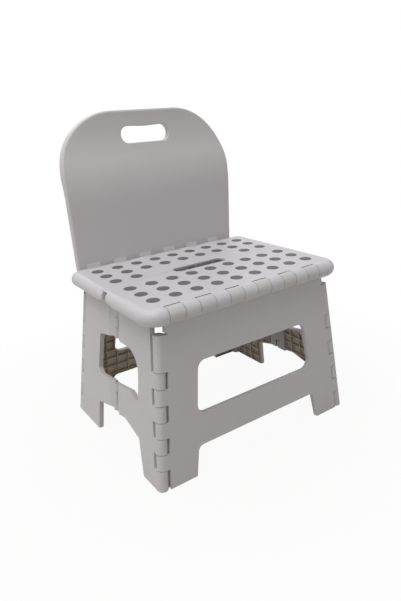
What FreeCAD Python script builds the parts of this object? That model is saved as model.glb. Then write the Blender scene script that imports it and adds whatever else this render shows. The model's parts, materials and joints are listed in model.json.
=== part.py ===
import FreeCAD, Part
import Sketcher
import math
import os
import re

# A folding step stool with a low backrest, moulded in plastic and hinged on steel pins.
# The front faces -Y, the left side faces -X and Z is up. The origin is on the floor,
# midway between the outermost points. Lengths are in millimetres and angles in degrees.
# Every leg panel leans inwards. The hinge lines of one side all aim at one point high
# above the stool, which is what lets the leaning walls fold flat.

SIZES = {
    # Outer planes of the four walls where they meet the floor, and how far they lean
    "side_foot": 149.2,
    "side_splay": 6.26,
    "front_foot": 123.3,
    "front_splay": 4.82,
    "rear_foot": 116.0,
    "rear_splay": 8.04,
    # Wall of the mouldings
    "plate": 6.0,
    "skin": 2.0,
    "rib": 1.5,
    "rib_pitch_wide": 34.0,
    "rib_pitch_high": 27.0,
    # Corner hinges
    "hinge_inset": 6.5,
    "edge_gap": 7.05,
    "column_foot": 24.6,
    "column_pitch": 19.15,
    "column_top": 181.4,
    "knuckle_gap": 0.6,
    "web_reach": 9.5,
    # Leg panels, measured up the panel
    "panel_top": 192.3,
    "jog_height": 184.0,
    "jog_reach": 4.6,
    "foot_inner": 99.5,
    "leg_inner": 92.6,
    "rail_bottom": 37.2,
    "rail_radius": 8.0,
    "foot_radius": 7.0,
    "window_top": 140.0,
    "window_top_half": 81.7,
    "window_bottom": 76.2,
    "window_bottom_half": 89.8,
    "window_radius": 11.0,
    # Side panels, measured from the middle plane and up the panel
    "side_top": 192.0,
    "side_notch": 189.0,
    "window_rear": 33.5,
    "window_rear_low": 40.2,
    "window_rear_high_z": 142.0,
    "window_rear_low_z": 92.0,
    "window_rear_floor_z": 85.3,
    "window_mid_top": 149.5,
    "window_mid_floor": 89.0,
    "window_front_peak": 38.0,
    "window_front_top": 149.5,
    "window_front": 68.4,
    "window_front_bottom": 88.0,
    "window_front_knee": 49.0,
    "window_front_knee_z": 95.5,
    "window_front_radius": 26.0,
    "arch_mid": 50.0,
    "arch_rear": 37.0,
    "arch_rear_z": 43.0,
    "arch_front": 36.0,
    "arch_front_z": 53.5,
    "arch_front_low": 71.0,
    "arch_front_low_z": 44.0,
    "foot_rear_inner": 42.5,
    "foot_front_knee": 77.0,
    "foot_front_knee_z": 22.0,
    "foot_front_inner": 84.0,
    "small_radius": 4.0,
    # Folding line in the middle of each side
    "middle_outset": 2.9,
    "middle_knuckle": 3.5,
    "middle_clear": 4.3,
    "middle_block": 15.5,
    "panel_room": 8.0,
    "middle_back": 3.7,
    "groove_angle": 15.9,
    "groove_drop": 0.3,
    "upper_knuckles_top": 188.0,
    "upper_knuckles_bottom": 148.5,
    "lower_knuckles_top": 87.0,
    "lower_knuckles_bottom": 50.0,
    "open_gap": 1.0,
    # Pins and bores
    "pin_radius": 1.5,
    "running_bore": 1.56,
    "open_bore": 2.3,
    "pin_inset": 3.0,
    "bore_inset": 6.0,
    "seat_pin_inset": 7.0,
    # Seat
    "seat_top": 212.0,
    "seat_thickness": 19.4,
    "seat_half_width": 143.5,
    "seat_edge_round": 9.3,
    "seat_front_corner": 24.0,
    "seat_rear_corner": 12.0,
    "seat_knuckle": 9.7,
    "seat_pocket": 10.2,
    "seat_front_axis": 108.0,
    "seat_rear_axis": 84.2,
    "seat_axis_height": 202.3,
    "seat_middle_axis": 13.99,
    "seat_middle_height": 203.01,
    "seat_seam": 3.5,
    "seat_rim": 5.0,
    "seat_skin": 2.4,
    "seat_rib": 1.6,
    "seat_rib_pitch_wide": 55.0,
    "seat_rib_pitch_deep": 34.0,
    "seat_ramp_angle": 20.0,
    "seat_block_end": 5.0,
    "wedge_back": 12.0,
    "wedge_reach": 45.0,
    "web_pocket_depth": 20.5,
    "web_pocket_height": 8.6,
    "slot_lip": 2.0,
    "seat_lap": 2.0,
    "seat_middle_knuckle": 3.3,
    "seat_middle_sleeve": 4.4,
    "seat_knuckle_start": 48.0,
    "seat_knuckle_pitch": 18.0,
    "row_start": 115.7,
    "row_pitch": 39.8,
    "row_width": 19.6,
    "slot_half_length": 39.0,
    "slot_front": 11.8,
    "slot_rear": 4.8,
    "slot_radius": 6.5,
    # Soft grips in the seat
    "dot_radius": 7.7,
    "dot_proud": 0.4,
    "dot_pitch": 28.7,
    "dot_first_row": 81.1,
    "dot_row_pitch": 26.75,
    "dot_rear_row": 10.1,
    # Backrest
    "back_front": 96.0,
    "back_plate": 8.9,
    "back_skin": 2.4,
    "back_rim": 3.2,
    "back_bottom": 189.0,
    "back_half_low": 127.0,
    "back_half_high": 131.4,
    "back_top": 407.3,
    "back_corner": 82.0,
    "back_bottom_corner": 14.0,
    "back_edge_round": 2.6,
    "back_rib_pitch_wide": 52.0,
    "back_rib_pitch_high": 44.0,
    "lean_start": 295.0,
    "lean_end": 400.0,
    "lean_offset": 18.4,
    "grip_half_length": 37.5,
    "grip_bottom": 364.4,
    "grip_top": 387.3,
    "grip_dip": 1.8,
    "grip_radius": 10.9,
    "grip_wall": 3.2,
    # Ledge that joins the rear legs to the backrest
    "tongue_root": 6.0,
    "tongue_heel": 5.5,
    "tongue_drop": 14.0,
    "tongue_rise": 8.0,
    "tongue_reach": 9.2,
    "tongue_valley": 4.2,
}

KNUCKLE_ROW = 6
DOT_COLUMNS = 9
DOT_CORNERS = 12
MIDDLE_KNUCKLES = 5
BIG = 500.0
EXTRA = 5.0
FULL_WIDTH = "2 * (seat_half_width + %s)" % EXTRA
BORE_LENGTH = "2 * (seat_half_width - bore_inset)"

doc = FreeCAD.newDocument("folding_step_stool_chair")
sheet = doc.addObject("Spreadsheet::Sheet", "Sizes")


def store(alias, value):
    """Put one plain number in the sheet under a name."""
    store.row += 1
    sheet.set("A%d" % store.row, alias)
    sheet.set("B%d" % store.row, repr(float(value)))
    sheet.setAlias("B%d" % store.row, alias)
    SIZES[alias] = float(value)


store.row = 0
for alias, value in list(SIZES.items()):
    store(alias, value)
doc.recompute()


def cells(text):
    """The same expression with every size name turned into a reference to its cell."""
    def refer(word):
        return "Sizes." + word.group() if word.group() in SIZES else word.group()

    return re.sub(r"[a-z][a-z_]+", refer, text)


def number(text):
    """The value of an expression over the sheet's sizes, for places that hold no binding."""
    return float(sheet.evalExpression(cells(text)))


def bind(item, **expressions):
    """Bind properties of an object to expressions over the sheet."""
    for prop, text in expressions.items():
        item.setExpression(prop, cells(text))
    return item


def vector(x=0.0, y=0.0, z=0.0):
    return FreeCAD.Vector(x, y, z)


def shifted(frame, x=0.0, y=0.0, z=0.0):
    """A frame moved along its own axes."""
    return frame.multiply(FreeCAD.Placement(vector(x, y, z), FreeCAD.Rotation()))


# Building blocks shared by all pieces

def block(name, frame, corner, length, width, height):
    """A box along a frame's axes, with its lowest corner at the given place."""
    item = doc.addObject("Part::Box", name)
    bind(item, Length=length, Width=width, Height=height)
    item.Placement = shifted(frame, *corner)
    return item


def rod(name, frame, start, length, radius):
    """A cylinder along a frame's Z axis."""
    item = doc.addObject("Part::Cylinder", name)
    bind(item, Height=length, Radius=radius)
    item.Placement = shifted(frame, z=start)
    return item


def fuse(name, items):
    item = doc.addObject("Part::MultiFuse", name)
    item.Shapes = items
    return item


def group(name, items):
    """Several solids that don't touch, kept as one object."""
    item = doc.addObject("Part::Compound", name)
    item.Links = items
    return item


def cut(name, base, tools):
    """A base less one tool, or less several that don't touch each other."""
    item = doc.addObject("Part::Cut", name)
    item.Base = base
    item.Tool = tools[0] if len(tools) == 1 else group(name + "_tools", tools)
    return item


def common(name, base, tool):
    item = doc.addObject("Part::Common", name)
    item.Base = base
    item.Tool = tool
    return item


def finished(item, label):
    """Give a finished piece the name of its file, with its faces joined where they are one."""
    if hasattr(item, "Refine"):
        item.Refine = True
    doc.recompute()
    item.Label = label
    PIECES.append(item)
    return item


PIECES = []


def new_body(name, frame):
    body = doc.addObject("PartDesign::Body", name)
    body.Placement = frame
    return body


def new_sketch(body, name):
    """A sketch on the body's own XY plane."""
    plane = [item for item in body.Origin.OriginFeatures if item.Role == "XY_Plane"][0]
    sketch = body.newObject("Sketcher::SketchObject", name)
    sketch.AttachmentSupport = [(plane, "")]
    sketch.MapMode = "FlatFace"
    return sketch


def hold(sketch, dimensions):
    """Add dimensions to a sketch and bind each one to an expression over the sheet."""
    rules = [Sketcher.Constraint(*where, number(value)) for where, value in dimensions]
    first = sketch.ConstraintCount
    sketch.addConstraint(rules)
    for index, (where, value) in enumerate(dimensions):
        sketch.setExpression("Constraints[%d]" % (first + index), cells(value))


def draw_loop(sketch, corners):
    """A closed loop of straight lines whose corners are held by bound distances."""
    first = sketch.GeometryCount
    places = [vector(number(x), number(y)) for x, y in corners]
    count = len(places)
    sketch.addGeometry([Part.LineSegment(places[index - 1], places[index]) for index in range(count)])
    joins = []
    dimensions = []
    for index, (x, y) in enumerate(corners):
        joins.append(Sketcher.Constraint("Coincident", first + index, 2, first + (index + 1) % count, 1))
        dimensions.append((("DistanceX", -1, 1, first + index, 2), x))
        dimensions.append((("DistanceY", -1, 1, first + index, 2), y))
    sketch.addConstraint(joins)
    hold(sketch, dimensions)


def pad(body, sketch, length, reverse=False):
    feature = body.newObject("PartDesign::Pad", sketch.Name + "_pad")
    feature.Profile = sketch
    feature.Reversed = reverse
    bind(feature, Length=length)
    return feature


def upright_edges(shape, corners):
    """Names of the edges along Z that stand on the given corners."""
    names = []
    for x, y in corners:
        place = vector(number(x), number(y))
        best = None
        for index, edge in enumerate(shape.Edges):
            ends = [vertex.Point for vertex in edge.Vertexes]
            if len(ends) < 2 or math.hypot(ends[0].x - ends[1].x, ends[0].y - ends[1].y) > 0.01:
                continue
            away = math.hypot(ends[0].x - place.x, ends[0].y - place.y)
            if away < 0.05:
                best = "Edge%d" % (index + 1)
        if best is None:
            raise ValueError("no upright edge at %s, %s" % (x, y))
        names.append(best)
    return names


def round_corners(body, feature, corners, radius, name):
    """Round the upright edges of a prism at the given corners."""
    doc.recompute()
    fillet = body.newObject("PartDesign::Fillet", name)
    fillet.Base = (feature, upright_edges(feature.Shape, corners))
    bind(fillet, Radius=radius)
    doc.recompute()
    return fillet


def prism(name, frame, loops, length, rounds, reverse=False):
    """A body padded from one or more loops, with groups of its corners rounded."""
    body = new_body(name, frame)
    sketch = new_sketch(body, name + "_outline")
    for corners in loops:
        draw_loop(sketch, corners)
    feature = pad(body, sketch, length, reverse)
    for index, (corners, radius) in enumerate(rounds):
        feature = round_corners(body, feature, corners, radius, "%s_round_%d" % (name, index))
    doc.recompute()
    return body


def bars(name, frame, low, high, pitches, thickness, depth):
    """Two groups of parallel bars that cross over a rectangle, below the frame's plane."""
    wide, tall = (number(pitch) for pitch in pitches)
    half = number(thickness) / 2
    deep = number(depth)
    uprights = []
    for index in range(math.ceil(low[0] / wide), math.floor(high[0] / wide) + 1):
        corner = (index * wide - half, low[1], -deep)
        uprights.append(block(name + "_upright", frame, corner, thickness, repr(high[1] - low[1]), depth))
    levels = []
    for index in range(math.ceil(low[1] / tall), math.floor(high[1] / tall) + 1):
        corner = (low[0], index * tall - half, -deep)
        levels.append(block(name + "_level", frame, corner, repr(high[0] - low[0]), thickness, depth))
    return group(name + "_uprights", uprights), group(name + "_levels", levels)


def ribbed_plate(name, frame, loops, rounds, low, high):
    """A moulded wall: a skin on the outer face, a rim round every edge and a grid of ribs."""
    plate = prism(name + "_plate", frame, loops, "plate", rounds, reverse=True)
    hollow = doc.addObject("Part::Thickness", name + "_tray")
    inner = frame.multVec(vector(0, 0, -number("plate")))
    outward = frame.Rotation.multVec(vector(0, 0, 1))
    for index, face in enumerate(plate.Shape.Faces):
        if abs((face.CenterOfMass - inner).dot(outward)) < 0.01:
            hollow.Faces = (plate, ["Face%d" % (index + 1)])
    hollow.Mode = "Skin"
    hollow.Join = "Intersection"
    bind(hollow, Value="-skin")
    hollow_space = cut(name + "_hollow", plate, [hollow])
    uprights, levels = bars(name, frame, low, high, ("rib_pitch_wide", "rib_pitch_high"), "rib", "plate")
    standing = common(name + "_ribs_up", hollow_space, uprights)
    lying = common(name + "_ribs_across", hollow_space, levels)
    return [hollow, standing, lying]


# Frames and hinge lines

def wall_frame(x, y, turn, splay):
    """A leaning wall's frame: X along the wall, Y up it and Z out of it, with the foot at Z 0."""
    upright = FreeCAD.Rotation(vector(x=1), 90 - splay)
    return FreeCAD.Placement(vector(x, y), FreeCAD.Rotation(vector(z=1), turn).multiply(upright))


FRONT = wall_frame(0, -number("front_foot"), 0, number("front_splay"))
REAR = wall_frame(0, number("rear_foot"), 180, number("rear_splay"))
LEFT = wall_frame(-number("side_foot"), 0, -90, number("side_splay"))
RIGHT = wall_frame(number("side_foot"), 0, 90, number("side_splay"))
FLOOR = FreeCAD.Placement()


def inset_foot(foot, splay):
    """Where the plane through the hinge lines of one wall meets the floor."""
    return foot - number("hinge_inset") / math.cos(math.radians(splay))


def slope(angle):
    return math.tan(math.radians(angle))


SIDE_X = inset_foot(number("side_foot"), number("side_splay"))
FRONT_Y = -inset_foot(number("front_foot"), number("front_splay"))
REAR_Y = inset_foot(number("rear_foot"), number("rear_splay"))
APEX_Z = (REAR_Y - FRONT_Y) / (slope(number("front_splay")) + slope(number("rear_splay")))
APEX_X = SIDE_X - slope(number("side_splay")) * APEX_Z
APEX = vector(APEX_X, FRONT_Y + slope(number("front_splay")) * APEX_Z, APEX_Z)


def mirrored(place, hand):
    """A place on the right side, or its mirror image on the left where hand is -1."""
    return vector(hand * place.x, place.y, place.z)


def line_frame(foot, apex, inward, outward):
    """A frame on a hinge line: Z up the line, X into the piece that it carries, Y out of the wall."""
    up = (apex - foot).normalize()
    out = outward - up * outward.dot(up)
    out.normalize()
    along = out.cross(up)
    if along.dot(inward) < 0:
        along = -along
    return foot, up, along, out


def middle_foot():
    """Floor point of the right side's middle hinge line, halfway between its two corner lines."""
    rear = (vector(SIDE_X, REAR_Y) - APEX).normalize()
    front = (vector(SIDE_X, FRONT_Y) - APEX).normalize()
    middle = (rear + front).normalize()
    foot = APEX - middle * (APEX_Z / middle.z)
    outward = rear.cross(front).normalize()
    if outward.x < 0:
        outward = -outward
    return foot + outward * number("middle_outset")


MIDDLE = middle_foot()


def store_line(alias, frame, foot, apex, hand):
    """Record a hinge line in its wall's frame as a foot distance and a lean."""
    low = frame.inverse().multVec(foot)
    high = frame.inverse().multVec(apex)
    lean = (high.x - low.x) / (high.y - low.y)
    store(alias + "_foot", hand * (low.x - lean * low.y))
    store(alias + "_lean", hand * lean)


store_line("front_corner", FRONT, vector(SIDE_X, FRONT_Y), APEX, 1)
store_line("rear_corner", REAR, vector(SIDE_X, REAR_Y), APEX, -1)
store_line("side_front", RIGHT, vector(SIDE_X, FRONT_Y), APEX, 1)
store_line("side_rear", RIGHT, vector(SIDE_X, REAR_Y), APEX, 1)
store_line("side_middle", RIGHT, MIDDLE, APEX, 1)
doc.recompute()


def line_at(line, height, offset):
    """Expression for the distance of a hinge line's edge at a height up the wall."""
    return "%s_foot + %s_lean * (%s) + (%s)" % (line, line, height, offset)


# Corner columns, where knuckles of a leg panel and of a side take turns round one pin

def column_levels():
    """Heights where one knuckle ends and the next begins, from the floor up."""
    levels = [0.0, number("column_foot")]
    while len(levels) < 8:
        levels.append(levels[-1] + number("column_pitch"))
    return levels + [number("column_top")]


def spans(levels, first):
    """Every second stretch between the levels, starting with the first or the second."""
    return [(levels[index], levels[index + 1]) for index in range(first, len(levels) - 1, 2)]


def knuckle_profile(name, frame, length):
    """A wall that rolls round a hinge line, as one prism along the line."""
    body = new_body(name, frame)
    sketch = new_sketch(body, name + "_profile")
    radius = number("hinge_inset")
    depth = radius - number("plate")
    reach = number("web_reach")
    turn = math.asin(depth / radius)
    circle = Part.Circle(vector(), vector(z=1), radius)
    sketch.addGeometry(Part.ArcOfCircle(circle, math.pi / 2, 2 * math.pi + turn))
    meet = vector(radius * math.cos(turn), depth)
    sketch.addGeometry(Part.LineSegment(meet, vector(reach, depth)))
    sketch.addGeometry(Part.LineSegment(vector(reach, depth), vector(reach, radius)))
    sketch.addGeometry(Part.LineSegment(vector(reach, radius), vector(0, radius)))
    for index in range(3):
        sketch.addConstraint(Sketcher.Constraint("Coincident", index, 2, index + 1, 1))
    sketch.addConstraint(Sketcher.Constraint("Coincident", 3, 2, 0, 1))
    sketch.addConstraint(Sketcher.Constraint("Coincident", 0, 3, -1, 1))
    sketch.addConstraint(Sketcher.Constraint("PointOnObject", 0, 1, -2))
    sketch.addConstraint(Sketcher.Constraint("Horizontal", 1))
    sketch.addConstraint(Sketcher.Constraint("Vertical", 2))
    sketch.addConstraint(Sketcher.Constraint("Horizontal", 3))
    hold(sketch, [
        (("Radius", 0), "hinge_inset"),
        (("DistanceX", -1, 1, 2, 1), "web_reach"),
        (("DistanceY", -1, 1, 2, 1), "hinge_inset - plate"),
    ])
    pad(body, sketch, length)
    return body


def placed(foot, up, along, out):
    """Placement of a line frame, turned over where its axes are left-handed."""
    if along.cross(out).dot(up) < 0:
        return FreeCAD.Placement(foot, FreeCAD.Rotation(along, out, up.negative(), "ZXY")), -1
    return FreeCAD.Placement(foot, FreeCAD.Rotation(along, out, up, "ZXY")), 1


def along_line(turned, start, end):
    """Lowest value and length along a line frame's Z for a stretch measured up the line."""
    return (start if turned > 0 else -end), end - start


def corner_column(name, foot, hand, inward, outward, stretches):
    """All knuckles of one piece at one corner, each with its web to the plate."""
    frame, turned = placed(*line_frame(mirrored(foot, hand), mirrored(APEX, hand), inward, outward))
    rise = (APEX - foot).Length / APEX.z
    gap = number("knuckle_gap") / 2
    parts = []
    for index, (low, high) in enumerate(stretches):
        bottom = low * rise + (gap if low > 0 else -gap * 4)
        start, length = along_line(turned, bottom, high * rise - gap)
        parts.append(knuckle_profile("%s_%d" % (name, index), shifted(frame, z=start), repr(length)))
    return parts


def corner_bore(name, foot, hand, radius):
    """The round space along a whole corner line."""
    up = (mirrored(APEX, hand) - mirrored(foot, hand)).normalize()
    frame = FreeCAD.Placement(mirrored(foot, hand), FreeCAD.Rotation(vector(z=1), up))
    return rod(name, frame, -number("pin_inset"), "column_top + 2 * pin_inset + 3", radius)


LEVELS = column_levels()
PANEL_SPANS = spans(LEVELS, 1)
SIDE_SPANS = spans(LEVELS, 0)


# Seat hinges

def row_starts():
    """Left ends of the leg panels' knuckles under each edge of the seat."""
    return [-number("row_start") + index * number("row_pitch") for index in range(KNUCKLE_ROW)]


def across(y, z):
    """A frame whose Z runs along +X, for round things that cross the stool."""
    return FreeCAD.Placement(vector(0, y, z), FreeCAD.Rotation(vector(z=1), vector(x=1)))


def seat_row(name, frame, y, panel_side):
    """Knuckles on top of a leg panel, one plain round barrel and a web each."""
    parts = []
    axis = across(y, number("seat_axis_height"))
    top = frame.inverse().multVec(vector(0, y, number("seat_axis_height"))).y
    bottom = number("panel_top") - number("skin")
    height = repr(top - bottom)
    for index, start in enumerate(row_starts()):
        parts.append(rod("%s_barrel_%d" % (name, index), axis, start, "row_width", "seat_knuckle"))
        left = start if panel_side > 0 else -start - number("row_width")
        corner = (left, bottom, -number("plate"))
        parts.append(block("%s_web_%d" % (name, index), frame, corner, "row_width", height, "plate"))
    return parts


def mirrored_loop(half):
    """A symmetrical loop from the corners of its right half, listed from the bottom up."""
    return half + [("-(%s)" % x, y) for x, y in reversed(half)]


def leg_loops(line):
    """Outline and window of a leg panel."""
    edge = "-edge_gap"
    outline = mirrored_loop([
        ("leg_inner", "rail_bottom"),
        ("foot_inner", "-2"),
        (line_at(line, "-2", edge), "-2"),
        (line_at(line, "jog_height", edge), "jog_height"),
        (line_at(line, "jog_height", "-jog_reach"), "jog_height"),
        (line_at(line, "panel_top", "-jog_reach"), "panel_top"),
    ])
    window = mirrored_loop([("window_bottom_half", "window_bottom"), ("window_top_half", "window_top")])
    rounds = [
        (window, "window_radius"),
        ([("leg_inner", "rail_bottom"), ("-(leg_inner)", "rail_bottom")], "rail_radius"),
    ]
    return [outline, window], rounds


def leg_panel(name, frame, line, foot, y, side):
    """A pair of legs with its rail, corner knuckles and seat knuckles."""
    loops, rounds = leg_loops(line)
    half = number("side_foot")
    parts = ribbed_plate(name, frame, loops, rounds, (-half, 0.0), (half, number("panel_top")))
    outward = frame.Rotation.multVec(vector(z=1))
    for hand in (-1, 1):
        title = "%s_column_%s" % (name, "left" if hand < 0 else "right")
        parts += corner_column(title, foot, hand, vector(x=-hand), outward, PANEL_SPANS)
    return parts + seat_row(name, frame, y, side)


def below_floor(name):
    return block(name, FLOOR, (-BIG / 2, -BIG / 2, -BIG / 10), repr(BIG), repr(BIG), repr(BIG / 10))


def seat_bore(name, y, radius):
    start = number("bore_inset") - number("seat_half_width")
    return rod(name, across(y, number("seat_axis_height")), start, BORE_LENGTH, radius)


def pin_bores(name, foot, y, radius):
    """The round spaces for the three pins that a leg panel holds."""
    bores = [corner_bore("%s_bore_%d" % (name, hand), foot, hand, radius) for hand in (-1, 1)]
    return bores + [seat_bore(name + "_seat_bore", y, radius)]


FRONT_FOOT = vector(SIDE_X, FRONT_Y)
REAR_FOOT = vector(SIDE_X, REAR_Y)


def build_front_panel():
    y = -number("seat_front_axis")
    whole = fuse("front_panel_whole", leg_panel("front_panel", FRONT, "front_corner", FRONT_FOOT, y, 1))
    standing = cut("front_panel_standing", whole, [below_floor("front_panel_floor")])
    bores = pin_bores("front_panel", FRONT_FOOT, y, "pin_radius")
    finished(cut("front_panel_cut", standing, bores), "front_panel")


# Backrest, moulded in one with the rear legs

def profile_frame(x):
    """A frame whose X runs to the rear and Y up, so a prism from it grows to the right."""
    return FreeCAD.Placement(vector(x, 0, 0), FreeCAD.Rotation(vector(y=1), vector(z=1), vector(x=1), "ZXY"))


def elevation_frame(y):
    """A frame whose X runs to the left and Y up, so a prism from it grows to the rear."""
    return FreeCAD.Placement(vector(0, y, 0), FreeCAD.Rotation(vector(x=-1), vector(z=1), vector(y=1), "ZXY"))


def lean_profile(name, front, back):
    """Closed side view of the backrest between a front face and a back face."""
    y_front = number("back_front") + front
    y_back = number("back_front") + back
    offset = number("lean_offset")
    bottom = number("back_bottom")
    top = number("back_top") + 1
    edges = []
    for y in (y_front, y_back):
        rise = number("lean_end - lean_start")
        turn = 2 * math.atan2(offset, rise)
        radius = rise / 2 / math.sin(turn)
        start = number("lean_start")
        end = number("lean_end")
        half = vector(y + offset / 2, (start + end) / 2)
        low_middle = vector(y + radius * (1 - math.cos(turn / 2)), start + radius * math.sin(turn / 2))
        high_middle = vector(y + offset, start + rise) - (low_middle - vector(y, start))
        edges.append(Part.LineSegment(vector(y, bottom), vector(y, start)).toShape())
        edges.append(Part.Arc(vector(y, start), low_middle, half).toShape())
        edges.append(Part.Arc(half, high_middle, vector(y + offset, end)).toShape())
        edges.append(Part.LineSegment(vector(y + offset, end), vector(y + offset, top)).toShape())
    edges.append(Part.LineSegment(vector(y_front, bottom), vector(y_back, bottom)).toShape())
    edges.append(Part.LineSegment(vector(y_front + offset, top), vector(y_back + offset, top)).toShape())
    item = doc.addObject("Part::Feature", name)
    item.Shape = Part.Face(Part.Wire(Part.__sortEdges__(edges)))
    item.Placement = profile_frame(-number("back_half_high") - 1)
    return item


def swept(name, face, length):
    item = doc.addObject("Part::Extrusion", name)
    item.Base = face
    item.DirMode = "Custom"
    item.Dir = vector(x=1)
    item.Solid = True
    bind(item, LengthFwd=length)
    return item


def back_outline(name, inset, length):
    """The backrest's front view as a prism, drawn in by a rim width."""
    low = "back_half_low - (%s)" % inset
    high = "back_half_high - (%s)" % inset
    bottom = "back_bottom + (%s)" % inset
    top = "back_top - (%s)" % inset
    right = [(low, bottom), (high, top)]
    loop = mirrored_loop(right)
    rounds = [
        ([right[1], ("-(%s)" % high, top)], "back_corner - (%s)" % inset),
        ([right[0], ("-(%s)" % low, bottom)], "back_bottom_corner - (%s)" % inset),
    ]
    return prism(name, elevation_frame(number("back_front") - 5), [loop], length, rounds)


def grip_hole(name, extra):
    """The hand hole in the backrest, with a slight dip in its top edge, or the wall round it."""
    half = "grip_half_length + (%s)" % extra
    bottom = "grip_bottom - (%s)" % extra
    top = "grip_top + (%s)" % extra
    left = "-(%s)" % half
    loop = [(left, bottom), (half, bottom), (half, top), ("0.01", top + " - grip_dip"), (left, top)]
    rounds = [([loop[0], loop[1], loop[2], loop[4]], "grip_radius + (%s) / 2" % extra)]
    return prism(name, elevation_frame(number("back_front") - 5), [loop], "60", rounds)


def back_shell():
    """The backrest board: smooth in front, hollow and ribbed behind."""
    width = "2 * back_half_high + 2"
    board = common(
        "back_board",
        swept("back_board_side", lean_profile("back_board_profile", 0, number("back_plate")), width),
        back_outline("back_board_front", "0", "60"),
    )
    doc.recompute()
    rim = [index + 1 for index, edge in enumerate(board.Shape.Edges) if on_front(edge)]
    rounded = doc.addObject("Part::Fillet", "back_rounded")
    rounded.Base = board
    rounded.Edges = [(index, number("back_edge_round"), number("back_edge_round")) for index in rim]
    hollow = common(
        "back_hollow",
        swept("back_hollow_side", lean_profile("back_hollow_profile", number("back_skin"), 30), width),
        back_outline("back_hollow_front", "back_rim", "60"),
    )
    frame = elevation_frame(number("back_front") + 40)
    half = number("back_half_high")
    uprights, levels = bars(
        "back", frame, (-half, number("back_bottom")), (half, number("back_top")),
        ("back_rib_pitch_wide", "back_rib_pitch_high"), "rib", "50",
    )
    walls = [uprights, levels, grip_hole("back_grip_wall", "grip_wall")]
    for index, wall in enumerate(walls):
        hollow = cut("back_cells_%d" % index, hollow, [wall])
    return cut("back_grip", cut("back_ribbed", rounded, [hollow]), [grip_hole("back_grip_hole", "0")])


def on_front(edge):
    """True for an edge that runs round the board's front face."""
    middle = edge.valueAt((edge.FirstParameter + edge.LastParameter) / 2)
    ends = [edge.valueAt(edge.FirstParameter), edge.valueAt(edge.LastParameter)]
    return all(abs(place.y - front_face(place.z)) < 0.05 for place in ends + [middle]) and edge_is_rim(middle)


def front_face(z):
    """How far back the board's front face lies at a height."""
    rise = number("lean_end - lean_start")
    offset = number("lean_offset")
    turn = 2 * math.atan2(offset, rise)
    radius = rise / 2 / math.sin(turn)
    climb = min(max(z - number("lean_start"), 0.0), rise)
    if climb <= rise / 2:
        back = radius - math.sqrt(radius ** 2 - climb ** 2)
    else:
        back = offset - radius + math.sqrt(radius ** 2 - (rise - climb) ** 2)
    return number("back_front") + back


def edge_is_rim(place):
    """True away from the seams between the face's own stretches, which run straight across."""
    return abs(place.x) > 1 or place.z > number("back_top") - 1


def tongues():
    """Ledge that carries the board, cut into a tongue behind each knuckle.

    The valley between knuckle and board lets the seat's top edge swing past.
    """
    loop = [
        ("seat_rear_axis", "panel_top - skin - tongue_root"),
        ("back_front - tongue_heel", "panel_top - tongue_drop"),
        ("back_front - tongue_heel + 1", "panel_top - tongue_drop"),
        ("back_front + back_plate", "panel_top - 1.5"),
        ("back_front + back_plate", "panel_top + tongue_root"),
        ("back_front + back_skin", "seat_top + tongue_rise"),
        ("back_front + 0.05", "seat_top + tongue_rise / 2"),
        ("seat_rear_axis + tongue_reach", "seat_axis_height + tongue_valley"),
        ("seat_rear_axis", "seat_axis_height"),
    ]
    start = row_starts()[0]
    length = "(%d) * row_pitch + row_width" % (KNUCKLE_ROW - 1)
    rail = prism("tongue_rail", profile_frame(start), [loop], length, [])
    pockets = []
    front = number("seat_rear_axis") - 1
    floor = number("panel_top") - number("knuckle_gap")
    wide = "row_pitch - row_width"
    deep = "back_front - seat_rear_axis + 1"
    for index in range(KNUCKLE_ROW - 1):
        corner = (start + number("row_width") + index * number("row_pitch"), front, floor)
        pockets.append(block("tongue_pocket_%d" % index, FLOOR, corner, wide, deep, "60"))
    return cut("tongues", rail, pockets)


def build_rear_panel():
    y = number("seat_rear_axis")
    legs = leg_panel("rear_panel", REAR, "rear_corner", REAR_FOOT, y, -1)
    whole = fuse("rear_panel_whole", legs + [tongues(), back_shell()])
    standing = cut("rear_panel_standing", whole, [below_floor("rear_panel_floor")])
    bores = pin_bores("rear_panel", REAR_FOOT, y, "pin_radius")
    finished(cut("rear_panel_cut", standing, bores), "rear_panel_and_backrest")


# Side panels, which fold in the middle

def along_side(hand, corners):
    """Corners given by distance to the rear and height, turned to the wall's own X."""
    return [(x if hand > 0 else "-(%s)" % x, y) for x, y in corners]


def rear_side_loop():
    clear = "middle_clear"
    return [
        (line_at("side_middle", "side_notch", clear), "side_notch"),
        (line_at("side_middle", "side_notch", "middle_block"), "side_notch"),
        (line_at("side_middle", "side_top", "middle_block + 4"), "side_top"),
        (line_at("side_rear", "side_top", "-edge_gap"), "side_top"),
        (line_at("side_rear", "-2", "-edge_gap"), "-2"),
        ("foot_rear_inner", "-2"),
        ("window_rear_low", "arch_rear_z - 1"),
        ("arch_rear - 2", "arch_rear_z + 1"),
        ("8.0", "arch_mid + 0.5"),
        (line_at("side_middle", "arch_mid", clear), "arch_mid + 2"),
        (line_at("side_middle", "window_mid_floor", clear), "window_mid_floor"),
        ("window_rear", "window_rear_floor_z"),
        ("window_rear_low", "window_rear_low_z"),
        ("window_rear", "window_rear_high_z"),
        (line_at("side_middle", "window_mid_top", clear), "window_mid_top"),
    ]


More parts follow.
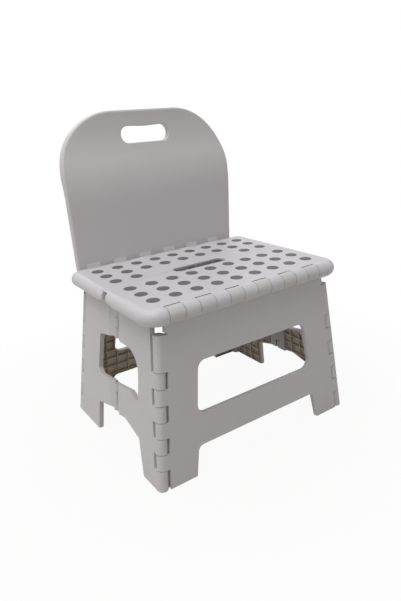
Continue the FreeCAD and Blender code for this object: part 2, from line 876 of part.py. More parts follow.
def front_side_loop():
    clear = "-middle_clear"
    return [
        (line_at("side_middle", "side_notch", clear), "side_notch"),
        (line_at("side_middle", "side_notch", "-middle_block"), "side_notch"),
        (line_at("side_middle", "side_top", "-middle_block - 4"), "side_top"),
        (line_at("side_front", "side_top", "edge_gap"), "side_top"),
        (line_at("side_front", "-2", "edge_gap"), "-2"),
        ("-foot_front_inner", "-2"),
        ("-foot_front_knee", "foot_front_knee_z"),
        ("-arch_front_low", "arch_front_low_z"),
        ("-arch_front", "arch_front_z"),
        (line_at("side_middle", "arch_mid", clear), "arch_mid"),
        (line_at("side_middle", "window_mid_floor", clear), "window_mid_floor"),
        ("-window_front_knee", "window_front_knee_z"),
        ("-window_front", "window_front_bottom"),
        ("-window_front", "window_front_top"),
        (line_at("side_middle", "window_mid_top", clear), "window_mid_top"),
    ]


REAR_SIDE_ROUNDS = (4, 5, 6, 7, 11, 12, 13)
FRONT_SIDE_ROUNDS = (5, 6, 7, 8, 11, 12)
FRONT_SIDE_ARC = (13,)


def middle_frame(hand):
    """Frame on a side's middle hinge line: X towards the rear, Y out of the wall, Z along the line."""
    foot = mirrored(MIDDLE, hand)
    return placed(*line_frame(foot, mirrored(APEX, hand), vector(y=1), vector(x=hand)))


def middle_stretches(opened):
    """Two groups of three knuckles: outer ones on the front half, inner ones on the rear half."""
    gap = number("open_gap" if opened else "knuckle_gap") / 2
    groups = []
    for name in ("lower", "upper"):
        top = number(name + "_knuckles_top")
        bottom = number(name + "_knuckles_bottom")
        step = (top - bottom) / 3
        outer = [(bottom, bottom + step - gap), (top - step + gap, top)]
        inner = [(bottom + step + gap, top - step - gap)]
        groups.append((outer, inner))
    return groups


def groove_wedge(name, frame, toward, start, length):
    """What the fold needs clear above a half's ramp: everything from the line up and away from the wall."""
    rise = math.tan(math.radians(number("groove_angle")))
    reach = 40.0
    drop = number("groove_drop")
    corners = [(-8.0, -drop), (0.0, -drop), (reach, reach * rise - drop), (reach, 20.0), (-8.0, 20.0)]
    loop = [(repr(toward * x), repr(y)) for x, y in corners]
    return prism(name, shifted(frame, z=start), [loop], repr(length), [])


def middle_parts(name, hand, rear, opened):
    """What the middle hinge adds to a half of a side, and the room the other half's knuckles need."""
    frame, turned = middle_frame(hand)
    deep = "middle_back + hinge_inset - middle_outset + 1"
    gap = number("open_gap" if opened else "knuckle_gap")
    blocks = []
    knuckles = []
    spaces = []
    for level, (outer, inner) in zip(("lower", "upper"), middle_stretches(opened)):
        own, other = (inner, outer) if rear else (outer, inner)
        bottom = number(level + "_knuckles_bottom")
        top = number(level + "_knuckles_top")
        start, length = along_line(turned, bottom, top)
        corner = (0.0 if rear else -number("middle_block"), -number("middle_back"), start)
        title = "%s_block_%s" % (name, level)
        blocks.append(block(title, frame, corner, "middle_block", deep, repr(length)))
        for low, high in own:
            start, length = along_line(turned, low, high)
            knuckles.append(rod(name + "_knuckle", frame, start, repr(length), "middle_knuckle"))
        for low, high in other:
            low -= gap if low > bottom else EXTRA
            high += gap if high < top else EXTRA
            start, length = along_line(turned, low, high)
            corner = (-number("middle_clear"), -number("panel_room"), start)
            spaces.append(block(name + "_space", frame, corner, "2 * middle_clear", "20", repr(length)))
    return blocks, knuckles, spaces


def middle_reach(turned, extra):
    """Start and length of a stretch that passes all knuckles of a middle line at both ends."""
    low = number("lower_knuckles_bottom") - extra
    return along_line(turned, low, number("upper_knuckles_top") + extra)


def side_half(name, hand, rear, opened):
    """Half of a side wall: its plate, its corner column and its share of the middle hinge."""
    wall = RIGHT if hand > 0 else LEFT
    toward = 1 if rear else -1
    loop = along_side(hand, rear_side_loop() if rear else front_side_loop())
    picks = REAR_SIDE_ROUNDS if rear else FRONT_SIDE_ROUNDS
    rounds = [([loop[index] for index in picks], "small_radius")]
    if not rear:
        rounds.append(([loop[index] for index in FRONT_SIDE_ARC], "window_front_radius"))
    half = number("side_foot")
    parts = ribbed_plate(name, wall, [loop], rounds, (-half, 0.0), (half, number("side_top")))
    outward = wall.Rotation.multVec(vector(z=1))
    foot = REAR_FOOT if rear else FRONT_FOOT
    parts += corner_column(name + "_column", foot, hand, vector(y=-toward), outward, SIDE_SPANS)
    blocks, knuckles, spaces = middle_parts(name, hand, rear, opened)
    frame, turned = middle_frame(hand)
    start, length = middle_reach(turned, 4 * EXTRA)
    wedge = groove_wedge(name + "_groove", frame, toward, start, length)
    plane = shifted(wall, x=-BIG / 2)
    outside = block(name + "_outside", plane, (0.0, 0.0, 0.0), repr(BIG), repr(BIG), "20")
    solid = fuse(name + "_solid", parts + blocks)
    for title, tools in (("grooved", [wedge]), ("spaced", spaces), ("faced", [outside])):
        solid = cut("%s_%s" % (name, title), solid, tools)
    whole = fuse(name + "_whole", [solid] + knuckles)
    standing = cut(name + "_standing", whole, [below_floor(name + "_floor")])
    middle = "open_bore" if opened and rear else ("running_bore" if rear else "pin_radius")
    start, length = middle_reach(turned, EXTRA)
    bores = [
        corner_bore(name + "_bore", foot, hand, "running_bore"),
        rod(name + "_middle_bore", frame, start, repr(length), middle),
    ]
    label = "%s_%s_side_panel" % ("right" if hand > 0 else "left", "rear" if rear else "front")
    finished(cut(name + "_cut", standing, bores), label)


def build_side_panels():
    for hand in (-1, 1):
        for rear in (True, False):
            name = "%s_%s" % ("right" if hand > 0 else "left", "rear" if rear else "front")
            side_half(name, hand, rear, opened=hand > 0)


# Hinge pins

def corner_pin(label, foot, hand):
    up = (mirrored(APEX, hand) - mirrored(foot, hand)).normalize()
    frame = FreeCAD.Placement(mirrored(foot, hand), FreeCAD.Rotation(vector(z=1), up))
    finished(rod(label + "_rod", frame, number("pin_inset"), "column_top - pin_inset", "pin_radius"), label)


def middle_pin(label, hand, group_name):
    frame, turned = middle_frame(hand)
    low = number(group_name + "_knuckles_bottom")
    high = number(group_name + "_knuckles_top")
    start, length = along_line(turned, low + 1, high - 1)
    finished(rod(label + "_rod", frame, start, repr(length), "pin_radius"), label)


def build_pins():
    for hand, side in ((-1, "left"), (1, "right")):
        corner_pin("front_%s_corner_pin" % side, FRONT_FOOT, hand)
        corner_pin("rear_%s_corner_pin" % side, REAR_FOOT, hand)
        for group_name in ("upper", "lower"):
            middle_pin("%s_%s_side_pin" % (side, group_name), hand, group_name)
    half = number("seat_half_width") - number("seat_pin_inset")
    for label, y, z in (
        ("front_seat_hinge_pin", -number("seat_front_axis"), number("seat_axis_height")),
        ("rear_seat_hinge_pin", number("seat_rear_axis"), number("seat_axis_height")),
        ("seat_middle_hinge_pin", -number("seat_middle_axis"), number("seat_middle_height")),
    ):
        finished(rod(label + "_rod", across(y, z), -half, repr(2 * half), "pin_radius"), label)


# Seat, in two halves that meet over the middle hinge

def seat_frame(z):
    return FreeCAD.Placement(vector(0, 0, z), FreeCAD.Rotation())


def seat_blank(name, near, far, corner_radius):
    """A half of the seat as a rounded slab; near is its middle edge and far its outer edge."""
    bottom = number("seat_top") - number("seat_thickness")
    right = [("seat_half_width", near), ("seat_half_width", far)]
    loop = mirrored_loop(right)
    body = prism(name, seat_frame(bottom), [loop], "seat_thickness", [(loop[1:3], corner_radius)])
    feature = body.Tip
    near_y = number(near)
    names = []
    for index, edge in enumerate(feature.Shape.Edges):
        ends = [vertex.Point for vertex in edge.Vertexes]
        level = len(ends) == 2 and abs(ends[0].z - ends[1].z) < 0.01
        at_middle = len(ends) == 2 and all(abs(end.y - near_y) < 0.01 for end in ends)
        if level and not at_middle:
            names.append("Edge%d" % (index + 1))
    fillet = body.newObject("PartDesign::Fillet", name + "_edge_round")
    fillet.Base = (feature, names)
    bind(fillet, Radius="seat_edge_round")
    doc.recompute()
    return body


def seat_hollow(name, near, far):
    """The space under the skin, between the rim, the hinge walls and the ribs."""
    bottom = number("seat_top") - number("seat_thickness")
    side = "seat_half_width - seat_rim"
    loop = mirrored_loop([(side, near), (side, far)])
    depth = "seat_thickness - seat_skin"
    space = prism(name, seat_frame(bottom), [loop], depth, [(loop, "small_radius")])
    frame = seat_frame(bottom + number(depth))
    low_y, high_y = sorted((number(near), number(far)))
    half = number("seat_half_width")
    uprights, levels = bars(
        name, frame, (-half, low_y), (half, high_y),
        ("seat_rib_pitch_wide", "seat_rib_pitch_deep"), "seat_rib", "seat_thickness",
    )
    return cut(name + "_cells", cut(name + "_bays", space, [uprights]), [levels])


def dot_places(rear):
    """Middles of the round grips."""
    pitch = number("dot_pitch")
    columns = [(index - (DOT_COLUMNS - 1) / 2) * pitch for index in range(DOT_COLUMNS)]
    places = []
    for row in range(3):
        step = row * number("dot_row_pitch")
        y = number("dot_rear_row") + step if rear else step - number("dot_first_row")
        for index, x in enumerate(columns):
            if rear and row == 0 and 1 < index < DOT_COLUMNS - 2:
                continue
            places.append((x, y))
    return places


def grips(name, rear):
    """Round grips that stand just proud of the seat, each its own solid."""
    discs = []
    for index, (x, y) in enumerate(dot_places(rear)):
        disc = doc.addObject("Part::Prism", "%s_%d" % (name, index))
        disc.Polygon = DOT_CORNERS
        bind(disc, Circumradius="dot_radius", Height="dot_proud")
        disc.Placement = FreeCAD.Placement(vector(x, y, number("seat_top")), FreeCAD.Rotation())
        discs.append(disc)
    return group(name, discs)


def middle_spans():
    """Stretches along X of the seat's middle knuckles on both sides of the hand slot, left to right."""
    pitch = number("seat_knuckle_pitch")
    start = number("seat_knuckle_start")
    right = [(start + index * pitch, start + (index + 1) * pitch) for index in range(MIDDLE_KNUCKLES)]
    left = [(-high, -low) for low, high in reversed(right)]
    return left, right


def seat_slot():
    loop = [
        ("-slot_half_length", "-slot_front"),
        ("slot_half_length", "-slot_front"),
        ("slot_half_length", "slot_rear"),
        ("-slot_half_length", "slot_rear"),
    ]
    bottom = number("seat_top") - number("seat_thickness") - 5
    return loop, bottom


def slot_prism(name):
    loop, bottom = seat_slot()
    return prism(name, seat_frame(bottom), [loop], "seat_thickness + 10", [(loop, "slot_radius")])


def ramp_wedge(name, toward):
    """What the fold needs clear below a half's ramp."""
    y = -number("seat_middle_axis")
    z = number("seat_middle_height") + number("groove_drop")
    behind = y - toward * number("wedge_back")
    ahead = y + toward * number("wedge_reach")
    low = z - number("wedge_reach")
    slant = z - number("wedge_reach") * slope(number("seat_ramp_angle"))
    corners = [(behind, z), (y, z), (ahead, slant), (ahead, low), (behind, low)]
    loop = [(repr(a), repr(b)) for a, b in corners]
    return prism(name, profile_frame(-number("seat_half_width") - EXTRA), [loop], FULL_WIDTH, [])


def outer_pockets(name, y):
    """Room in the seat's outer edge for the leg panel's knuckles and for their webs."""
    axis = across(y, number("seat_axis_height"))
    gap = number("knuckle_gap")
    wide = "row_width + 2 * knuckle_gap"
    low = y - 12 if y < 0 else y - 8.5
    bottom = number("seat_top") - number("seat_thickness") - 4
    barrels = []
    webs = []
    for index, start in enumerate(row_starts()):
        barrels.append(rod("%s_pocket_%d" % (name, index), axis, start - gap, wide, "seat_pocket"))
        corner = (start - gap, low, bottom)
        title = "%s_web_pocket_%d" % (name, index)
        webs.append(block(title, FLOOR, corner, wide, "web_pocket_depth", "web_pocket_height"))
    return group(name + "_pockets", barrels), group(name + "_web_pockets", webs)


def lapped_half(name, rear):
    """The slab of one half, hollow below, with its share of the lapped seam over the hinge."""
    lap_low = number("seat_top") - number("seat_lap")
    behind = -number("seat_middle_axis") - EXTRA
    start = -number("seat_half_width") - EXTRA
    if rear:
        near = "-seat_middle_axis + seat_block_end"
        blank = seat_blank(name + "_blank", near, "seat_rear_axis + seat_knuckle", "seat_rear_corner")
        hollow = seat_hollow(name + "_hollow", near + " + 3", "seat_rear_axis - seat_pocket - seat_skin")
        corner = (start, behind, lap_low - number("groove_drop"))
        deep = "seat_middle_axis - seat_seam + %s + groove_drop" % EXTRA
        step = block(name + "_step", FLOOR, corner, FULL_WIDTH, deep, "10")
    else:
        far = "-seat_front_axis - seat_knuckle"
        blank = seat_blank(name + "_blank", "-seat_seam", far, "seat_front_corner")
        near = "-seat_middle_axis - seat_block_end - 3"
        hollow = seat_hollow(name + "_hollow", near, "-seat_front_axis + seat_pocket + seat_skin")
        corner = (start, behind, lap_low - 40)
        step = block(name + "_step", FLOOR, corner, FULL_WIDTH, "40", "40")
    return cut(name + "_lapped", cut(name + "_shell", blank, [hollow]), [step])


def middle_knuckles(name, rear):
    """Knuckles of one half over the middle line, and the webs that tie them to the slab."""
    gap = number("open_gap") / 2
    y = -number("seat_middle_axis")
    z = number("seat_middle_height")
    radius = "seat_middle_knuckle" if rear else "seat_middle_sleeve"
    reach = number("seat_block_end") + 2
    drop = number("groove_drop")
    room = number("seat_top") - number("seat_lap") - z
    height = number(radius) - 0.2 if rear else room + drop
    knuckles = []
    webs = []
    for side in middle_spans():
        for index, (low, high) in enumerate(side):
            if (index % 2 == 0) != rear:
                continue
            length = repr(high - low - 2 * gap)
            knuckles.append(rod("%s_knuckle_%d" % (name, index), across(y, z), low + gap, length, radius))
            corner = (low + gap, y if rear else y - reach, z - drop)
            webs.append(block("%s_web_%d" % (name, index), FLOOR, corner, length, repr(reach), repr(height)))
    return knuckles, webs


def hand_lip():
    """Edge that stiffens the front of the hand slot."""
    bottom = number("seat_middle_height") + 2.3
    corner = (-number("slot_half_length") - 3, -number("slot_front") - number("slot_lip"), bottom)
    height = repr(number("seat_top") - 1 - bottom)
    return block("slot_lip", FLOOR, corner, "2 * slot_half_length + 6", "slot_lip", height)


def build_seat_half(rear):
    name = "seat_rear" if rear else "seat_front"
    outer = number("seat_rear_axis") if rear else -number("seat_front_axis")
    knuckles, webs = middle_knuckles(name, rear)
    lips = [] if rear else [hand_lip()]
    whole = fuse(name + "_whole", [lapped_half(name, rear)] + webs + knuckles + lips)
    ramped = cut(name + "_ramped", whole, [ramp_wedge(name + "_ramp", 1 if rear else -1)])
    cleared = fuse(name + "_rejoined", [ramped] + knuckles)
    barrels, web_pockets = outer_pockets(name, outer)
    for title, tool in (("barrels", barrels), ("webs", web_pockets), ("slot", slot_prism(name + "_slot"))):
        cleared = cut("%s_clear_of_%s" % (name, title), cleared, [tool])
    axis = across(-number("seat_middle_axis"), number("seat_middle_height"))
    start = number("bore_inset") - number("seat_half_width")
    middle = "pin_radius" if rear else "open_bore"
    bores = [
        seat_bore(name + "_outer_bore", outer, "running_bore"),
        rod(name + "_middle_bore", axis, start, BORE_LENGTH, middle),
    ]
    finished(cut(name + "_cut", cleared, bores), "seat_rear_half" if rear else "seat_front_half")
    finished(grips(name + "_grips", rear), "rear_seat_grip_dots" if rear else "front_seat_grip_dots")


def check_document():
    """Stop before anything is written if any object failed to build."""
    for item in doc.Objects:
        if "Invalid" in item.State or "Error" in item.State:
            raise ValueError("%s failed: %s" % (item.Name, item.State))
    for item in PIECES:
        if item.Shape.isNull() or not item.Shape.isValid():
            raise ValueError("%s has no valid shape" % item.Label)


def write_pieces():
    os.makedirs("parts", exist_ok=True)
    for item in PIECES:
        item.Shape.exportStep("parts/%s.step" % item.Label)
        print(item.Label, len(item.Shape.Solids), round(item.Shape.Volume))


build_rear_panel()
build_front_panel()
build_side_panels()
build_seat_half(rear=True)
build_seat_half(rear=False)
build_pins()
doc.recompute()
check_document()
write_pieces()
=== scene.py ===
# %% [markdown]
# # A folding step stool with a backrest
#
# The construction comes from the imported CAD model: leg panels, folding side walls, a seat in
# two halves and the steel hinge pins. This notebook gives those parts their looks. It adds
# what belongs to the surface: moulded plastic, bright steel, soft round grips, and the fine
# stiffening ribs on the hidden faces. It also paints warm bounce light into the ribbed insides
# as a cream colour.

# %% Load the imported model
import json
import math

import bpy
from mathutils import Matrix, Vector


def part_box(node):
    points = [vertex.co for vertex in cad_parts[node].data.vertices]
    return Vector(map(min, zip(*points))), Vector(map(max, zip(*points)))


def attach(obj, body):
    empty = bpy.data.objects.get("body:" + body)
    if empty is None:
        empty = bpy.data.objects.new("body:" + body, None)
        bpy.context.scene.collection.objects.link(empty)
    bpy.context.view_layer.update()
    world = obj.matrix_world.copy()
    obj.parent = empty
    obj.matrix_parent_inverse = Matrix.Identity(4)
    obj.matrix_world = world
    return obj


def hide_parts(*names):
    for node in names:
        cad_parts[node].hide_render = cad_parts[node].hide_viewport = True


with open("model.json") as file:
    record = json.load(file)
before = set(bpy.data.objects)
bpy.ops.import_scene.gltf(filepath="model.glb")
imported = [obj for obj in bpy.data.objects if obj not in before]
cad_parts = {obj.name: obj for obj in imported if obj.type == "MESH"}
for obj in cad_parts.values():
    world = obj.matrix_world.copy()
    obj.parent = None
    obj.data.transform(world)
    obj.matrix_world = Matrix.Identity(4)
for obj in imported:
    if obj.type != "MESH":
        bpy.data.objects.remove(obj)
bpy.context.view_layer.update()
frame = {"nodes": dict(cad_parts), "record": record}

# %% [markdown]
# ## Camera
#
# The photograph was taken from in front and to the left of the stool, a little above the
# seat. A camera is a place, a direction and a lens. The direction is built from three turns:
# first the heading, then the pitch down, and last a small roll, because the picture is not
# quite level. The lens length is worked out for the picture's longer side.

# %% Place the camera
PICTURE = (401, 601)
SENSOR = 36.0
FOCAL_PIXELS = 515.0
NEAREST, FARTHEST = 0.01, 50.0
CAMERA_PLACE = Vector((-0.3608, -0.5439, 0.4008))
CAMERA_HEADING = math.radians(33.59)
CAMERA_PITCH = math.radians(20.21)
CAMERA_ROLL = math.radians(3.26)


def camera_turn(heading, pitch, roll):
    """Rotation of a camera that looks along +Y, turned to its heading, tipped down and rolled."""
    level = Matrix.Rotation(math.pi / 2, 4, "X")
    turned = Matrix.Rotation(-heading, 4, "Z") @ Matrix.Rotation(-pitch, 4, "X") @ level
    return turned @ Matrix.Rotation(-roll, 4, "Z")


camera_data = bpy.data.cameras.new("camera")
camera_data.sensor_width = SENSOR
camera_data.lens = FOCAL_PIXELS * SENSOR / max(PICTURE)
camera_data.clip_start = NEAREST
camera_data.clip_end = FARTHEST
camera = bpy.data.objects.new("camera", camera_data)
camera_angles = camera_turn(CAMERA_HEADING, CAMERA_PITCH, CAMERA_ROLL)
camera.matrix_world = Matrix.Translation(CAMERA_PLACE) @ camera_angles
bpy.context.scene.collection.objects.link(camera)
bpy.context.scene.camera = camera
print("lens", round(camera_data.lens, 2), "mm")
print("looks along", [round(x, 3) for x in camera.matrix_world.to_3x3() @ Vector((0, 0, -1))])

# %% [markdown]
# ## A short way to write node trees
#
# Light, materials and geometry are all trees of nodes here. Written out in full, a node takes
# one line to make it and one more for each of its inputs, and the idea gets lost. These
# helpers keep a tree short enough to read: one makes a node, one fills its inputs by name,
# and the others do a step of arithmetic.

# %% Helpers for every tree


def node(tree, kind, **settings):
    """One node with its settings."""
    item = tree.nodes.new(kind)
    for name, value in settings.items():
        setattr(item, name, value)
    return item


def put(tree, source, socket):
    """Link a socket to an input, or set the input to any other value."""
    if isinstance(source, bpy.types.NodeSocket):
        tree.links.new(source, socket)
    else:
        socket.default_value = source


def feed(tree, item, **sources):
    """Fill a node's inputs by name, where _ stands for a space in the name."""
    for title, source in sources.items():
        put(tree, source, item.inputs[title.replace("_", " ")])
    return item


def maths(tree, operation, *values):
    """The result of one arithmetic step on sockets or numbers."""
    item = node(tree, "ShaderNodeMath", operation=operation)
    for socket, value in zip(item.inputs, values):
        put(tree, value, socket)
    return item.outputs[0]


def vector_maths(tree, operation, *values):
    """One step on vectors, as a node, because some of its results are numbers."""
    item = node(tree, "ShaderNodeVectorMath", operation=operation)
    for socket, value in zip(item.inputs, values):
        put(tree, value, socket)
    return item


def between(tree, value, low, high, **more):
    """A value that runs from 0 to 1, or as told, while another runs from low to high."""
    item = node(tree, "ShaderNodeMapRange")
    return feed(tree, item, Value=value, From_Min=low, From_Max=high, **more).outputs["Result"]


def vector(tree, **axes):
    """A vector from the values of its X, Y or Z, and 0 for the rest."""
    return feed(tree, node(tree, "ShaderNodeCombineXYZ"), **axes).outputs[0]


print("helpers ready")

# %% [markdown]
# ## Floor, backdrop and light
#
# A plain product picture stands on white. To the camera and in gloss the world is plain white
# at strength one, and the stool itself is lit by a dim cool sky and three large soft lamps,
# so that no pale surface clips. The key lamp is almost overhead, because the seat is the
# brightest face and the front the darkest. A weak fill stands on the left, and a third lamp
# keeps the back in view. The floor is warm paper, which throws a little warmth up at the
# legs. Where the camera sees it, most of it is a white glow, and the rest keeps a faint
# shadow that fades out with the distance from the stool.

# %% World, floor and lamps
WHITE = (1.0, 1.0, 1.0, 1.0)
SKY = (0.95, 0.97, 1.0, 1.0)
SKY_STRENGTH = 0.34
PAPER = (0.6, 0.56, 0.53, 1.0)
PAPER_ROUGHNESS = 0.9
PAPER_GLOSS = 0.1
SHADOW_NEAR, SHADOW_FAR = 0.16, 0.55
SHADOW_GLOW = 0.94
FLOOR_REACH = 6.0
FLOOR_DROP = 0.0002
SEAT_MIDDLE = Vector((0.0, -0.01, 0.2))
LAMPS = {
    "key": {"place": (-0.6, -0.15, 1.9), "size": 1.3, "watts": 18.5},
    "fill": {"place": (-1.6, -0.4, 0.8), "size": 1.4, "watts": 2.5},
    "back": {"place": (0.3, 1.5, 1.4), "size": 1.4, "watts": 5.0},
}


def seen_directly(tree):
    """A value that is 1 for rays from the camera, in gloss or through glass, and otherwise 0."""
    path = node(tree, "ShaderNodeLightPath").outputs
    first = maths(tree, "MAXIMUM", path["Is Camera Ray"], path["Is Glossy Ray"])
    return maths(tree, "MAXIMUM", first, path["Is Transmission Ray"])


def mixed(tree, share, first, second):
    """The output of a mix of two shaders."""
    item = node(tree, "ShaderNodeMixShader")
    for socket, source in zip(item.inputs, (share, first.outputs[0], second.outputs[0])):
        tree.links.new(source, socket)
    return item.outputs[0]


def build_world():
    """White where the camera or a reflection looks, and a dim sky for everything else."""
    world = bpy.data.worlds.new("studio")
    world.use_nodes = True
    tree = world.node_tree
    tree.nodes.clear()
    sky = feed(tree, node(tree, "ShaderNodeBackground"), Color=SKY, Strength=SKY_STRENGTH)
    plain = feed(tree, node(tree, "ShaderNodeBackground"), Color=WHITE)
    both = mixed(tree, seen_directly(tree), sky, plain)
    tree.links.new(both, node(tree, "ShaderNodeOutputWorld").inputs["Surface"])
    bpy.context.scene.world = world


def area_lamp(name, place, size, watts):
    """A large soft round lamp that faces the seat."""
    data = bpy.data.lights.new(name, "AREA")
    data.shape = "DISK"
    data.size = size
    data.energy = watts
    lamp = bpy.data.objects.new(name, data)
    turn = (SEAT_MIDDLE - Vector(place)).to_track_quat("-Z", "Y")
    lamp.matrix_world = Matrix.Translation(place) @ turn.to_matrix().to_4x4()
    bpy.context.scene.collection.objects.link(lamp)


def floor_material():
    """Matt paper that glows white to the camera and keeps part of its shadow near the stool."""
    material = bpy.data.materials.new("floor_paper")
    material.use_nodes = True
    tree = material.node_tree
    paper = feed(tree, tree.nodes["Principled BSDF"], Base_Color=PAPER,
                 Roughness=PAPER_ROUGHNESS, Specular_IOR_Level=PAPER_GLOSS)
    glow = feed(tree, node(tree, "ShaderNodeEmission"), Color=WHITE)
    where = node(tree, "ShaderNodeTexCoord").outputs["Object"]
    distance = vector_maths(tree, "LENGTH", where).outputs["Value"]
    fade = node(tree, "ShaderNodeMapRange", interpolation_type="SMOOTHSTEP")
    feed(tree, fade, Value=distance, From_Min=SHADOW_NEAR, From_Max=SHADOW_FAR, To_Min=SHADOW_GLOW)
    share = maths(tree, "MULTIPLY", fade.outputs["Result"], seen_directly(tree))
    tree.links.new(mixed(tree, share, paper, glow), tree.nodes["Material Output"].inputs["Surface"])
    return material


build_world()
for lamp_name, values in LAMPS.items():
    area_lamp(lamp_name, **values)
bpy.context.scene.view_settings.view_transform = "Standard"

floor_mesh = bpy.data.meshes.new("floor")
corners = [(x * FLOOR_REACH, y * FLOOR_REACH, 0) for x, y in ((-1, -1), (1, -1), (1, 1), (-1, 1))]
floor_mesh.from_pydata(corners, [], [(0, 1, 2, 3)])
floor_mesh.materials.append(floor_material())
floor = bpy.data.objects.new("floor", floor_mesh)
floor.location.z = -FLOOR_DROP
bpy.context.scene.collection.objects.link(floor)
print("lamps:", {name: values["watts"] for name, values in LAMPS.items()})

# %% [markdown]
# ## Effects that the plastics share
#
# The stool is injection moulded. Such a surface isn't one flat colour: it has a very fine
# grain from its mould, slow changes of tone where the melt flowed, and a gloss that differs
# where hands and shoes have rubbed it. All the plastics use the same two effects, so these
# are node groups: the grain, which gives a height, and the tone, which gives a factor for the
# colour and a cloud for the gloss. Both read Object coordinates, so they stay on a piece as
# it folds.

# %% Shared node groups
GRAIN_SCALE = 1400.0
GRAIN_DETAIL = 3.0
PIT_SHARE = 0.6
FLOW_SCALE = 9.0
FLOW_DETAIL = 4.0
FLOW_SWIRL = 0.6
RUBBED_SCALE = 26.0
RUBBED_DETAIL = 6.0
MIDDLE_GREY = 0.5
TONE_AMOUNT = 0.05


def new_group(name, inputs, outputs):
    """An empty shader group with number sockets, its inputs as a name and a first value."""
    group = bpy.data.node_groups.new(name, "ShaderNodeTree")
    for title, value in inputs.items():
        socket = group.interface.new_socket(name=title, in_out="INPUT", socket_type="NodeSocketFloat")
        socket.default_value = value
    for title in outputs:
        group.interface.new_socket(name=title, in_out="OUTPUT", socket_type="NodeSocketFloat")
    return group, node(group, "NodeGroupInput").outputs, node(group, "NodeGroupOutput")


def grain_group():
    """Fine moulded grain as a height: small pits over a finer roughness."""
    group, given, made = new_group("moulded_grain", {"Scale": GRAIN_SCALE}, ["Height"])
    where = node(group, "ShaderNodeTexCoord").outputs["Object"]
    fine = feed(group, node(group, "ShaderNodeTexNoise"), Vector=where, Scale=given["Scale"],
                Detail=GRAIN_DETAIL)
    pits = feed(group, node(group, "ShaderNodeTexVoronoi", feature="SMOOTH_F1"), Vector=where,
                Scale=given["Scale"])
    height = maths(group, "MULTIPLY_ADD", pits.outputs["Distance"], PIT_SHARE, fine.outputs["Fac"])
    feed(group, made, Height=height)
    return group


def tone_group():
    """Slow cloudy change of tone over a moulding, and a finer cloud for where it is rubbed."""
    group, given, made = new_group(
        "moulded_tone", {"Scale": FLOW_SCALE, "Amount": TONE_AMOUNT}, ["Tone", "Rubbed"]
    )
    where = node(group, "ShaderNodeTexCoord").outputs["Object"]
    flow = feed(group, node(group, "ShaderNodeTexNoise"), Vector=where, Scale=given["Scale"],
                Detail=FLOW_DETAIL, Distortion=FLOW_SWIRL)
    rubbed = feed(group, node(group, "ShaderNodeTexNoise"), Vector=where, Scale=RUBBED_SCALE,
                  Detail=RUBBED_DETAIL)
    centred = maths(group, "SUBTRACT", flow.outputs["Fac"], MIDDLE_GREY)
    feed(group, made, Tone=maths(group, "MULTIPLY_ADD", centred, given["Amount"], 1.0),
         Rubbed=rubbed.outputs["Fac"])
    return group


GRAIN = grain_group()
TONE = tone_group()
print("shared effects:", GRAIN.name, TONE.name)

# %% [markdown]
# ## The walls as planes
#
# Five flat walls carry everything: the front, the rear and the two sides, which lean inwards,
# and the seat. Each has a frame of its own, with X along the wall, Y up it and Z outwards.
# Both the paint, which has to tell a wall's outside from its ribbed inside, and the ribs are
# worked out in these frames, so they are written once.

# %% Wall frames
FRONT_FOOT, REAR_FOOT, SIDE_FOOT = 0.1233, 0.116, 0.1492
FRONT_LEAN, REAR_LEAN, SIDE_LEAN = (math.radians(angle) for angle in (4.82, 8.04, 6.26))
SEAT_TOP = 0.212


def wall_frame(x, y, turn, lean):
    """Frame of a wall whose foot passes through (x, y) and which leans inwards as it rises."""
    turned = Matrix.Rotation(math.radians(turn), 4, "Z") @ Matrix.Rotation(math.pi / 2 - lean, 4, "X")
    return Matrix.Translation((x, y, 0.0)) @ turned


def plane_of(frame_matrix):
    """Outward direction of a wall and how far along it the wall's outer face lies."""
    outward = frame_matrix.to_3x3() @ Vector((0, 0, 1))
    return tuple(outward), frame_matrix.translation.dot(outward)


FRONT_WALL = wall_frame(0, -FRONT_FOOT, 0, FRONT_LEAN)
REAR_WALL = wall_frame(0, REAR_FOOT, 180, REAR_LEAN)
LEFT_WALL = wall_frame(-SIDE_FOOT, 0, -90, SIDE_LEAN)
RIGHT_WALL = wall_frame(SIDE_FOOT, 0, 90, SIDE_LEAN)
SEAT_PLANE = Matrix.Translation((0, 0, SEAT_TOP))
WALL_OF = {
    "front_panel": FRONT_WALL,
    "rear_panel_and_backrest": REAR_WALL,
    "left_front_side_panel": LEFT_WALL,
    "left_rear_side_panel": LEFT_WALL,
    "right_front_side_panel": RIGHT_WALL,
    "right_rear_side_panel": RIGHT_WALL,
}
FRONT, REAR, LEFT, RIGHT, TOP = (
    plane_of(matrix) for matrix in (FRONT_WALL, REAR_WALL, LEFT_WALL, RIGHT_WALL, SEAT_PLANE)
)
for title, plane in {"front": FRONT, "rear": REAR, "left": LEFT}.items():
    print(title, "wall faces", [round(x, 3) for x in plane[0]])

# %% [markdown]
# ## From the shared effects to a finished plastic
#
# Each wall is smooth outside and ribbed inside, and the inside looks warmer, because light
# bounces about in its cells. That warm bounce light is painted into the colour of the inside.
# The inside is everything deeper than the wall's skin, clear of the hinge columns at its ends,
# and below the seat. Each of these limits is a depth below a plane, measured with a dot product
# in Object coordinates. The cut edges of windows and feet keep the colour of the outside, so
# only faces that look into the stool count. The product of all these values is the mask of the
# painted bounce light. Sharp edges catch a soft line of light on a real moulding, which a
# Bevel node adds to the shading without changing the mesh.

# %% Plastic with an outside and an inside
SKIN = 0.0016
BLUR = 0.0012
FACING_IN = (-0.3, -0.6)
WALL_EDGE, SEAT_EDGE, BACKREST_EDGE = 0.0006, 0.0009, 0.0022
EDGE_SAMPLES = 6
SATIN, GLOSS = 0.42, 0.42
SMOOTHER, ROUGHER = 0.05, 0.07
RUBBED_RANGE = (0.3, 0.7)
SATIN_GRAIN = 0.12
GRAIN_DEPTH = 0.0002


